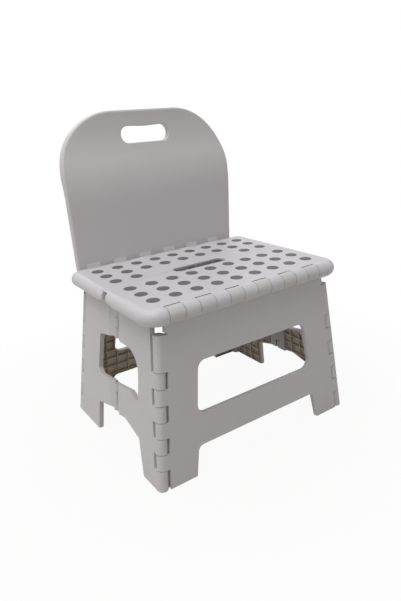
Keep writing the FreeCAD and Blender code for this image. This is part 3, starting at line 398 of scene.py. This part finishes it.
def colour_of(red, green, blue):
    """A linear colour from the 0 to 255 values that the finished surface should show."""
    def linear(value):
        value /= 255.0
        return value / 12.92 if value <= 0.04045 else ((value + 0.055) / 1.055) ** 2.4

    return (linear(red), linear(green), linear(blue), 1.0)


def painted_bounce_mask(tree, limits):
    """Painted bounce light mask: 1 on inward faces deeper than each limit asks below its plane, else 0."""
    where = node(tree, "ShaderNodeTexCoord").outputs
    own_outward = limits[0][0][0]
    facing = vector_maths(tree, "DOT_PRODUCT", where["Normal"], own_outward).outputs["Value"]
    mask = between(tree, facing, *FACING_IN)
    for (outward, level), depth in limits:
        reach = vector_maths(tree, "DOT_PRODUCT", where["Object"], outward).outputs["Value"]
        deep = between(tree, reach, level - depth, level - depth - BLUR)
        mask = maths(tree, "MULTIPLY", mask, deep)
    return mask


def plastic(name, outside, inside=None, limits=(), roughness=SATIN, grain=SATIN_GRAIN, edge=WALL_EDGE):
    """Satin moulded plastic; limits are the planes and depths that fence in a ribbed inside, painted with
    warm bounce light.
    """
    material = bpy.data.materials.new(name)
    material.use_nodes = True
    tree = material.node_tree
    shades = node(tree, "ShaderNodeGroup", node_tree=TONE).outputs
    relief = node(tree, "ShaderNodeGroup", node_tree=GRAIN).outputs
    # Painted bounce light: the cream inside colour goes where the mask finds the ribbed inside.
    base = feed(tree, node(tree, "ShaderNodeMix", data_type="RGBA"), A=outside, B=inside or outside,
                Factor=painted_bounce_mask(tree, limits) if limits else 0.0)
    toned = vector_maths(tree, "SCALE", base.outputs["Result"])
    feed(tree, toned, Scale=shades["Tone"])
    gloss = between(tree, shades["Rubbed"], *RUBBED_RANGE, To_Min=roughness - SMOOTHER,
                    To_Max=roughness + ROUGHER)
    soft_edge = feed(tree, node(tree, "ShaderNodeBevel", samples=EDGE_SAMPLES), Radius=edge)
    bump = feed(tree, node(tree, "ShaderNodeBump"), Strength=grain, Distance=GRAIN_DEPTH,
                Height=relief["Height"], Normal=soft_edge.outputs["Normal"])
    feed(tree, tree.nodes["Principled BSDF"], Base_Color=toned.outputs["Vector"], Roughness=gloss,
         Specular_IOR_Level=GLOSS, Normal=bump.outputs["Normal"])
    return material


print("a colour of 204 is written as", round(colour_of(204, 204, 204)[0], 3))

# %% [markdown]
# ## Paint the mouldings
#
# Walls and backrest are one warm light grey and the seat is a shade paler. The ribbed insides
# are painted cream, which stands for warm light bouncing about in their cells. Each wall piece
# gets its own copy of the plastic, because its mask needs the planes of that wall and of its
# neighbours. A side wall folds in its middle, and the hinge there keeps the outside's colour
# too, so its middle is one more limit.

# %% Plastic on walls, backrest and seat
OUTSIDE = colour_of(208, 204, 204)
# Painted bounce light: this cream stands for warm light bouncing in the ribbed cells.
PAINTED_BOUNCE_CREAM = colour_of(232, 218, 172)
SEAT_WHITE = colour_of(211, 208, 210)
COLUMN = 0.015
SEAT_DEPTH = 0.024


def give(name, material):
    """Put a material in every slot of a CAD node."""
    mesh = frame["nodes"][name].data
    if not mesh.materials:
        mesh.materials.append(material)
    for index in range(len(mesh.materials)):
        mesh.materials[index] = material


def inside_limits(own, *ends):
    """Planes and depths that fence in the ribbed inside of one wall."""
    return [(own, SKIN), (TOP, SEAT_DEPTH)] + [(end, COLUMN) for end in ends]


def across_at(y, facing):
    """A plane square to Y at a given place, which faces forwards at -1 or backwards at 1."""
    return (0.0, facing, 0.0), y * facing


FRONT_HALF_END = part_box("left_front_side_panel")[1][1]
REAR_HALF_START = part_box("left_rear_side_panel")[0][1]
MIDDLE = (FRONT_HALF_END + REAR_HALF_START) / 2
FOLD_OF_FRONT_HALF, FOLD_OF_REAR_HALF = across_at(MIDDLE, 1.0), across_at(MIDDLE, -1.0)
LIMITS = {
    "front_panel": inside_limits(FRONT, LEFT, RIGHT),
    "left_front_side_panel": inside_limits(LEFT, FRONT, FOLD_OF_FRONT_HALF),
    "left_rear_side_panel": inside_limits(LEFT, REAR, FOLD_OF_REAR_HALF),
    "right_front_side_panel": inside_limits(RIGHT, FRONT, FOLD_OF_FRONT_HALF),
    "right_rear_side_panel": inside_limits(RIGHT, REAR, FOLD_OF_REAR_HALF),
    "rear_panel_and_backrest": inside_limits(REAR, LEFT, RIGHT),
}
PLASTICS = {}
for wall, limits in LIMITS.items():
    rounding = BACKREST_EDGE if wall.startswith("rear") else WALL_EDGE
    PLASTICS[wall] = plastic(wall + "_plastic", OUTSIDE, PAINTED_BOUNCE_CREAM, limits, edge=rounding)
PLASTICS["seat_front_half"] = plastic("seat_plastic", SEAT_WHITE, edge=SEAT_EDGE)
PLASTICS["seat_rear_half"] = PLASTICS["seat_front_half"]
for wall, material in PLASTICS.items():
    give(wall, material)
print("plastics on", len(PLASTICS), "mouldings; the sides fold at y =", round(1000 * MIDDLE, 1), "mm")

# %% [markdown]
# ## Steel pins
#
# The pins are drawn steel wire, cut to length. Metal has no body colour, only the tint of its
# reflection. Drawing leaves the wire finely uneven in gloss, which a very fine noise gives.

# %% Drawn steel
STEEL_TINT = (0.56, 0.56, 0.58, 1.0)
DRAWN_SCALE = 2200.0
DRAWN_DETAIL = 2.0
DRAWN_GLOSS = (0.28, 0.5)


def steel():
    """Bright drawn wire."""
    material = bpy.data.materials.new("drawn_steel")
    material.use_nodes = True
    tree = material.node_tree
    where = node(tree, "ShaderNodeTexCoord").outputs["Object"]
    drawn = feed(tree, node(tree, "ShaderNodeTexNoise"), Vector=where, Scale=DRAWN_SCALE,
                 Detail=DRAWN_DETAIL)
    gloss = between(tree, drawn.outputs["Fac"], 0.0, 1.0, To_Min=DRAWN_GLOSS[0], To_Max=DRAWN_GLOSS[1])
    feed(tree, tree.nodes["Principled BSDF"], Base_Color=STEEL_TINT, Metallic=1.0, Roughness=gloss)
    return material


STEEL = steel()
PINS = [name for name in frame["nodes"] if name.endswith("_pin")]
for name in PINS:
    give(name, STEEL)
print("steel on", len(PINS), "pins")

# %% [markdown]
# ## Geometry trees
#
# Geometry Nodes build the two things that repeat on this stool: the fine ribs and the round
# grips. Each tree has named inputs, so that one tree serves several bodies. The result is
# turned into a plain mesh with its place in the mesh, as the export wants it.

# %% Helpers for geometry trees
GEOMETRY, MATERIAL, OBJECT = "NodeSocketGeometry", "NodeSocketMaterial", "NodeSocketObject"
FLOAT, WHOLE, VECTOR = "NodeSocketFloat", "NodeSocketInt", "NodeSocketVector"


def new_tree(name, inputs):
    """An empty geometry tree with named inputs and one mesh output."""
    tree = bpy.data.node_groups.new(name, "GeometryNodeTree")
    for title, kind in {"Geometry": GEOMETRY, **inputs}.items():
        tree.interface.new_socket(name=title, in_out="INPUT", socket_type=kind)
    tree.interface.new_socket(name="Geometry", in_out="OUTPUT", socket_type=GEOMETRY)
    return tree, node(tree, "NodeGroupInput").outputs, node(tree, "NodeGroupOutput")


def shaped(tree, kind, geometry, settings=None, **sources):
    """The geometry that comes out of a node which takes geometry first."""
    item = node(tree, "GeometryNode" + kind, **(settings or {}))
    tree.links.new(geometry, item.inputs[0])
    return feed(tree, item, **sources).outputs[0]


def position(tree):
    """The position field and its X, Y and Z."""
    where = node(tree, "GeometryNodeInputPosition").outputs[0]
    parts = node(tree, "ShaderNodeSeparateXYZ")
    tree.links.new(where, parts.inputs[0])
    return where, parts.outputs


def finish_tree(tree, geometry, material, made):
    """End a tree with real geometry and its material."""
    real = shaped(tree, "RealizeInstances", geometry)
    tree.links.new(shaped(tree, "SetMaterial", real, Material=material), made.inputs[0])


def grown(name, tree, values):
    """A plain mesh object made by one tree from its named values."""
    source = bpy.data.objects.new(name + "_source", bpy.data.meshes.new(name + "_source"))
    bpy.context.scene.collection.objects.link(source)
    modifier = source.modifiers.new("grow", "NODES")
    modifier.node_group = tree
    for item in tree.interface.items_tree:
        if item.in_out == "INPUT" and item.name in values:
            modifier[item.identifier] = values[item.name]
    bpy.context.view_layer.update()
    graph = bpy.context.evaluated_depsgraph_get()
    mesh = bpy.data.meshes.new_from_object(source.evaluated_get(graph))
    mesh.name = name
    source.modifiers.remove(modifier)
    bpy.data.objects.remove(source)
    piece = bpy.data.objects.new(name, mesh)
    bpy.context.scene.collection.objects.link(piece)
    return piece


print("tree helpers ready")

# %% [markdown]
# ## Round grips
#
# The seat carries soft round grips in six rows, three on each half, in a darker rubber. Each is
# a low dome with a rolled rim. They could be modelled one by one, but they are all alike, so
# one disc is shaped from a cylinder whose top falls towards its rim, and it is placed on a
# grid of points. In the row just behind the hand slot the middle is left out, because fingers
# go there.

# %% One tree for all the grips
DISC_SIDES, DISC_RINGS = 48, 6
CROWN, CROWN_POWER = -0.12, 2.0
ROLL, ROLL_POWER = -0.25, 8.0


def grip_disc(tree, radius, height):
    """A disc whose top is a low dome with a rolled rim."""
    disc = feed(tree, node(tree, "GeometryNodeMeshCylinder"), Vertices=DISC_SIDES, Side_Segments=1,
                Fill_Segments=DISC_RINGS, Radius=radius, Depth=height)
    where, axes = position(tree)
    squares = [maths(tree, "POWER", axes[axis], 2.0) for axis in "XY"]
    share = maths(tree, "DIVIDE", maths(tree, "SQRT", maths(tree, "ADD", *squares)), radius)
    falls = [maths(tree, "MULTIPLY", maths(tree, "POWER", share, power), amount)
             for amount, power in ((CROWN, CROWN_POWER), (ROLL, ROLL_POWER))]
    drop = vector(tree, Z=maths(tree, "MULTIPLY", maths(tree, "ADD", *falls), height))
    top_side = maths(tree, "GREATER_THAN", axes["Z"], 0.0)
    return shaped(tree, "SetPosition", disc.outputs["Mesh"], Selection=top_side, Offset=drop)


def grip_tree():
    """Rows of grips on one half of the seat, without the middle of its first row if asked."""
    numbers = ("Wide pitch", "Deep pitch", "Radius", "Top", "Height", "Middle", "Left out")
    inputs = {**{title: FLOAT for title in numbers}, "Columns": WHOLE, "Rows": WHOLE, "Rubber": MATERIAL}
    tree, value, made = new_tree("round_grips", inputs)
    wide = maths(tree, "MULTIPLY", value["Wide pitch"], maths(tree, "SUBTRACT", value["Columns"], 1))
    deep = maths(tree, "MULTIPLY", value["Deep pitch"], maths(tree, "SUBTRACT", value["Rows"], 1))
    grid = feed(tree, node(tree, "GeometryNodeMeshGrid"), Size_X=wide, Size_Y=deep,
                Vertices_X=value["Columns"], Vertices_Y=value["Rows"])
    where, axes = position(tree)
    slot_half = maths(tree, "MULTIPLY", value["Left out"], value["Wide pitch"])
    near_middle = maths(tree, "LESS_THAN", maths(tree, "ABSOLUTE", axes["X"]), slot_half)
    first_row = maths(tree, "LESS_THAN", axes["Y"], maths(tree, "MULTIPLY", value["Deep pitch"], -0.5))
    left_out = maths(tree, "MULTIPLY", near_middle, first_row)
    spots = shaped(tree, "DeleteGeometry", grid.outputs[0], {"domain": "POINT"}, Selection=left_out)
    disc = grip_disc(tree, value["Radius"], value["Height"])
    grips = shaped(tree, "InstanceOnPoints", spots, Instance=disc)
    level = maths(tree, "SUBTRACT", value["Top"], maths(tree, "MULTIPLY", value["Height"], 0.5))
    moved = shaped(tree, "Transform", grips, Translation=vector(tree, Y=value["Middle"], Z=level))
    finish_tree(tree, moved, value["Rubber"], made)
    return tree


GRIP_TREE = grip_tree()
print("grip tree with", len(GRIP_TREE.nodes), "nodes")

# %% [markdown]
# ## Grips on both halves of the seat
#
# The grips are moulded on, so they start a little below the seat's face. They replace the
# plain discs of the model, and each set rides with its half of the seat. The rubber is the
# same material as the plastics, but darker, duller and with a stronger grain.

# %% Place the grips
GRIP_RADIUS = 0.0077
GRIP_TOP = 0.2124
GRIP_SUNK = 0.0003
WIDE_GRIP_PITCH, DEEP_GRIP_PITCH = 0.0287, 0.02675
GRIP_ROWS, GRIP_COLUMNS = 3, 9
GRIPS_ON = {
    "front": {"Middle": -0.05435, "Left out": 0.0},
    "rear": {"Middle": 0.03685, "Left out": 2.5},
}
RUBBER = plastic("grip_rubber", colour_of(103, 99, 103), roughness=0.6, grain=0.3)
for half, own in GRIPS_ON.items():
    piece = grown(half + "_round_grips", GRIP_TREE, {
        "Wide pitch": WIDE_GRIP_PITCH, "Deep pitch": DEEP_GRIP_PITCH, "Columns": GRIP_COLUMNS,
        "Rows": GRIP_ROWS, "Radius": GRIP_RADIUS, "Top": GRIP_TOP,
        "Height": GRIP_TOP - SEAT_TOP + GRIP_SUNK, "Rubber": RUBBER, **own,
    })
    give(half + "_seat_grip_dots", RUBBER)
    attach(piece, "seat_" + half)
    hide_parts(half + "_seat_grip_dots")
    print(piece.name, len(piece.data.polygons), "faces")

# %% [markdown]
# ## Fine ribs inside the walls
#
# Behind its smooth face each wall is a shallow tray, stiffened by a lattice of thin ribs. The
# model holds the main ribs, and between them runs a finer set that divides each cell in two
# both ways. A rib may only stand where the wall has a skin, so it must stop at windows, feet
# and hinges. The tree draws fine lines in the wall's own frame, sends a ray outwards from each
# point, keeps the points whose ray meets the skin at its true depth, and gives each line that
# is left a thin upright section.

# %% Tree for the fine ribs
STEP = 0.0005
SHORTEST = 0.004
DEPTH_SLACK = 0.00012
RAY = 0.1
CROSS_RIB_SHARE = 0.94
WIDE, HIGH = 0, 1


def row_of(tree, axis, count, step, start):
    """A straight row of points along X or Y."""
    letter = "XY"[axis]
    line = node(tree, "GeometryNodeMeshLine", mode="OFFSET")
    return feed(tree, line, Count=count, Start_Location=vector(tree, **{letter: start}),
                Offset=vector(tree, **{letter: step})).outputs[0]


def lattice(tree, value, along, across):
    """Fine parallel lines in the wall's frame, side by side in the other direction."""
    title = ("Wide", "High")
    pitch = value[title[across] + " pitch"]
    points = maths(tree, "DIVIDE", value[title[along] + " span"], STEP)
    lines = maths(tree, "DIVIDE", value[title[across] + " span"], pitch)
    line = row_of(tree, along, points, STEP, value[title[along] + " start"])
    starts = row_of(tree, across, lines, pitch, value[title[across] + " first"])
    return shaped(tree, "RealizeInstances", shaped(tree, "InstanceOnPoints", starts, Instance=line))


def off_the_skin(tree, value, wall):
    """1 at points that have no skin of the wall at its true depth in front of them."""
    where, axes = position(tree)
    inner = vector(tree, Z=maths(tree, "MULTIPLY", value["Hollow"], -1.0))
    origin = vector_maths(tree, "ADD", where, inner).outputs[0]
    ray = feed(tree, node(tree, "GeometryNodeRaycast"), Target_Geometry=wall, Source_Position=origin,
               Ray_Direction=(0.0, 0.0, 1.0), Ray_Length=RAY).outputs
    room = maths(tree, "SUBTRACT", value["Hollow"], value["Skin"])
    error = maths(tree, "ABSOLUTE", maths(tree, "SUBTRACT", ray["Hit Distance"], room))
    meets = maths(tree, "MULTIPLY", maths(tree, "LESS_THAN", error, DEPTH_SLACK), ray["Is Hit"])
    return maths(tree, "SUBTRACT", 1.0, meets)


def upright(tree, value, lines, wall, depth):
    """The stretches of the lines that have the wall's skin in front of them, as upright bars."""
    gone = off_the_skin(tree, value, wall)
    kept = shaped(tree, "DeleteGeometry", lines, {"domain": "POINT"}, Selection=gone)
    curves = shaped(tree, "MeshToCurve", kept)
    length = node(tree, "GeometryNodeSplineLength").outputs["Length"]
    curves = shaped(tree, "DeleteGeometry", curves, {"domain": "CURVE"},
                    Selection=maths(tree, "LESS_THAN", length, SHORTEST))
    curves = shaped(tree, "ResampleCurve", curves, {"mode": "COUNT"}, Count=2)
    curves = shaped(tree, "SetCurveNormal", curves, {"mode": "Z_UP"})
    section = feed(tree, node(tree, "GeometryNodeCurvePrimitiveQuadrilateral"),
                   Width=value["Thickness"], Height=depth)
    bars = shaped(tree, "CurveToMesh", curves, Profile_Curve=section.outputs[0], Fill_Caps=True)
    centre = maths(tree, "ADD", value["Skin"], maths(tree, "MULTIPLY", depth, 0.5))
    return shaped(tree, "Transform", bars, Translation=vector(tree, Z=maths(tree, "MULTIPLY", centre, -1.0)))


def rib_tree():
    """Fine ribs both ways behind one wall, whose mesh is first laid flat in its own frame."""
    numbers = ["Hollow", "Skin", "Rib depth", "Thickness"]
    numbers += [side + word for side in ("Wide", "High") for word in (" start", " first", " span", " pitch")]
    inputs = {"Wall": OBJECT, "Place": VECTOR, "Turn": VECTOR, "Plastic": MATERIAL}
    tree, value, made = new_tree("fine_ribs", {**inputs, **{title: FLOAT for title in numbers}})
    turn = feed(tree, node(tree, "FunctionNodeEulerToRotation"), Euler=value["Turn"]).outputs[0]
    back = feed(tree, node(tree, "FunctionNodeInvertRotation"), Rotation=turn).outputs[0]
    away = feed(tree, vector_maths(tree, "SCALE", value["Place"]), Scale=-1.0).outputs[0]
    source = feed(tree, node(tree, "GeometryNodeObjectInfo"), Object=value["Wall"])
    wall = shaped(tree, "Transform", source.outputs["Geometry"], Translation=away)
    wall = shaped(tree, "Transform", wall, Rotation=back)
    join = node(tree, "GeometryNodeJoinGeometry")
    lower = maths(tree, "MULTIPLY", value["Rib depth"], CROSS_RIB_SHARE)
    for along, across, depth in ((WIDE, HIGH, value["Rib depth"]), (HIGH, WIDE, lower)):
        bars = upright(tree, value, lattice(tree, value, along, across), wall, depth)
        tree.links.new(bars, join.inputs[0])
    placed = shaped(tree, "Transform", join.outputs[0], Translation=value["Place"], Rotation=turn)
    finish_tree(tree, placed, value["Plastic"], made)
    return tree


RIB_TREE = rib_tree()
print("fine rib tree with", len(RIB_TREE.nodes), "nodes")

# %% [markdown]
# ## Where the fine ribs go
#
# The leg walls share one pitch and one depth. The seat is a thicker tray with wider cells, so
# it has its own, and its fine ribs reach down less than half of the way. Each set rides with
# the body of its wall and has its plastic.

# %% Fine ribs on every body
LEG_TRAY = {"Wide pitch": 0.034, "High pitch": 0.027, "Hollow": 0.006, "Skin": 0.002, "Rib depth": 0.0036}
SEAT_TRAY = {"Wide pitch": 0.055, "High pitch": 0.034, "Hollow": 0.0185, "Skin": 0.0024, "Rib depth": 0.008}
RIB_THICKNESS = 0.001
HALF_WIDTH = 0.17
LEG_REACH = (0.0, 0.21)
SEAT_REACH = (-0.12, 0.12)
BODIES = frame["record"]["behaviour"]["bodies"]
BODY_OF = {name: body for body, names in BODIES.items() for name in names}


def fine_ribs(wall, matrix, tray, reach):
    """Fine ribs midway between a wall's main ribs, over a reach up the wall from low to high."""
    low, high = reach
    rows = math.ceil(low / tray["High pitch"])
    columns = math.floor(HALF_WIDTH / tray["Wide pitch"])
    piece = grown(wall + "_fine_ribs", RIB_TREE, {
        "Wall": frame["nodes"][wall], "Place": matrix.translation, "Turn": matrix.to_euler(),
        "Plastic": PLASTICS[wall], "Thickness": RIB_THICKNESS,
        "Wide start": -HALF_WIDTH, "Wide span": 2 * HALF_WIDTH,
        "Wide first": -(columns + 0.5) * tray["Wide pitch"],
        "High start": low, "High span": high - low,
        "High first": (rows + 0.5) * tray["High pitch"], **tray,
    })
    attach(piece, BODY_OF[wall])
    print(piece.name, len(piece.data.polygons), "faces")


for wall, matrix in WALL_OF.items():
    fine_ribs(wall, matrix, LEG_TRAY, LEG_REACH)
for half in ("seat_front_half", "seat_rear_half"):
    fine_ribs(half, SEAT_PLANE, SEAT_TRAY, SEAT_REACH)
